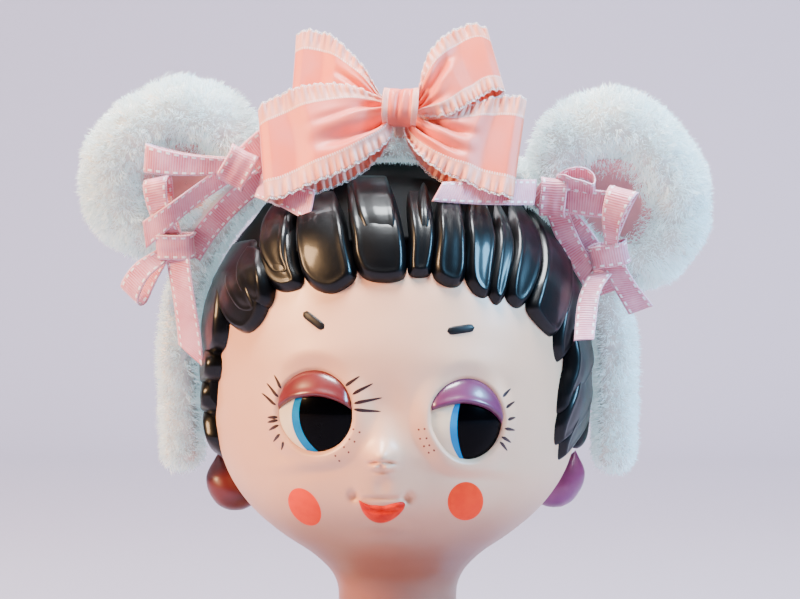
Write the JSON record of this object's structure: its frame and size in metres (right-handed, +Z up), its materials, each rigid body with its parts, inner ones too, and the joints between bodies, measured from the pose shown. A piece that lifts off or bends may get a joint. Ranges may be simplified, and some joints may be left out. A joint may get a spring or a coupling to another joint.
{
  "type": "doll head display with plush ear headband",
  "caption": "Painted vinyl doll head on a turning stand, wearing a lift-off plush headband with bear ears, ribbon bows and a large ruffled bow",
  "frame": {"origin": "centre of the stand's flat underside, on the head's turning axis", "axes": "+Z up along the turning axis, the face looks towards -Y, +X to the right of someone facing it"},
  "size_m": [0.247, 0.157, 0.2658],
  "materials": {
    "felt": "matte felt",
    "base_lacquer": "satin white lacquer",
    "ballast_iron": "as cast",
    "post_steel": "turned",
    "screw_steel": "zinc plated",
    "skin_vinyl": "satin, painted face",
    "bush_plastic": "moulded",
    "hair_vinyl": "glossy lacquer",
    "eye_paint": "gloss, painted iris",
    "mauve_paint": "gloss",
    "band_plastic": "moulded",
    "white_plush": "long pile plush",
    "pink_lining": "short pile",
    "wadding": "fibre filling",
    "peach_ribbon": "satin with ruffled edges",
    "pink_ribbon": "grosgrain with white stitching"
  },
  "bodies": {
    "base": {"felt_pad": "felt", "base_disc": "base_lacquer", "base_weight": "ballast_iron", "swivel_post": "post_steel", "post_screw": "screw_steel", "retaining_ring": "post_steel"},
    "head": {"head_shell": "skin_vinyl", "neck_shell": "skin_vinyl", "neck_bush": "bush_plastic", "hair_cap": "hair_vinyl", "eyeball_left": "eye_paint", "eyeball_right": "eye_paint", "eyelid_left": "mauve_paint", "eyelid_right": "mauve_paint", "earring_left": "mauve_paint", "earring_right": "mauve_paint"},
    "headband": {"bow_knot": "peach_ribbon", "bow_loop_lower_left": "peach_ribbon", "bow_loop_lower_right": "peach_ribbon", "bow_loop_upper_left": "peach_ribbon", "bow_loop_upper_right": "peach_ribbon", "ear_left_filling": "wadding", "ear_left_lining": "pink_lining", "ear_left_plush": "white_plush", "ear_right_filling": "wadding", "ear_right_lining": "pink_lining", "ear_right_plush": "white_plush", "headband_core": "band_plastic", "headband_plush": "white_plush", "left_band_ribbon": "pink_ribbon", "left_lower_knot": "pink_ribbon", "left_lower_loop_down": "pink_ribbon", "left_lower_loop_up": "pink_ribbon", "left_lower_tail": "pink_ribbon", "left_upper_knot": "pink_ribbon", "left_upper_loop": "pink_ribbon", "left_upper_strip": "pink_ribbon", "left_upper_tail": "pink_ribbon", "left_upper_tail_inner": "pink_ribbon", "right_band_ribbon": "pink_ribbon", "right_lower_knot": "pink_ribbon", "right_lower_loop": "pink_ribbon", "right_lower_tail_inner": "pink_ribbon", "right_lower_tail_outer": "pink_ribbon", "right_upper_knot": "pink_ribbon", "right_upper_loop": "pink_ribbon", "right_upper_strip": "pink_ribbon", "right_upper_tail": "pink_ribbon", "right_upper_tail_inner": "pink_ribbon"}
  },
  "joints": [
    {"name": "head_swivel", "type": "hinge", "parent": "base", "child": "head", "pos_m": [0, 0, 0.03], "axis": [0, 0, 1], "continuous": true},
    {"name": "headband_lift", "type": "slide", "parent": "head", "child": "headband", "axis": [0, 0, 1], "range_m": [0, 0.14]}
  ]
}
